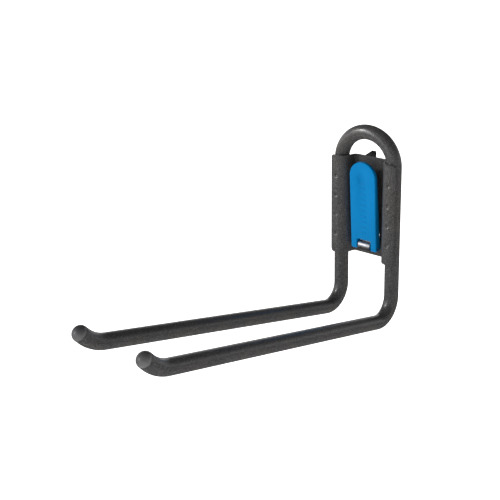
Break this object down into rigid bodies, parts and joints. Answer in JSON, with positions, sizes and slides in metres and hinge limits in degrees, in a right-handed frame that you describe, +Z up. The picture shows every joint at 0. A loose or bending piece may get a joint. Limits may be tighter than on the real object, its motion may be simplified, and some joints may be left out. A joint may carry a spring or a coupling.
{
  "type": "bicycle wall rack",
  "caption": "Two-armed bent-tube storage hook on a pressed steel bracket that hangs on a rail and locks with a swinging lever.",
  "frame": {"origin": "middle of the bracket's flat back face, which lies against the rail", "axes": "+Z up along the legs, +Y out of the back face towards the wall, -Y towards the user along the arms, +X to the user's right"},
  "size_m": [0.0972, 0.3982, 0.2194],
  "materials": {
    "coated_steel": "textured granite-grey powder coat",
    "cap_plastic": "satin moulded plastic",
    "black_steel": "satin black coat",
    "zinc_steel": "bright zinc-plated steel",
    "lever_plastic": "smooth blue moulded plastic"
  },
  "bodies": {
    "frame": {"frame_tube": "coated_steel", "end_cap_left": "cap_plastic", "end_cap_right": "cap_plastic", "bracket": "coated_steel", "weld_beads": "coated_steel", "hook_claw": "black_steel", "hinge_strap": "zinc_steel", "strap_rivets": "zinc_steel", "catch_spring": "zinc_steel", "catch_rivet": "zinc_steel", "lever_pin": "zinc_steel"},
    "lever": {"lever": "lever_plastic", "lock_cam": "black_steel", "cam_screws": "zinc_steel"}
  },
  "joints": [
    {"name": "lever_hinge", "type": "hinge", "parent": "frame", "child": "lever", "pos_m": [0, -0.0094, -0.04445], "axis": [1, 0, 0], "range_deg": [0, 95]}
  ]
}
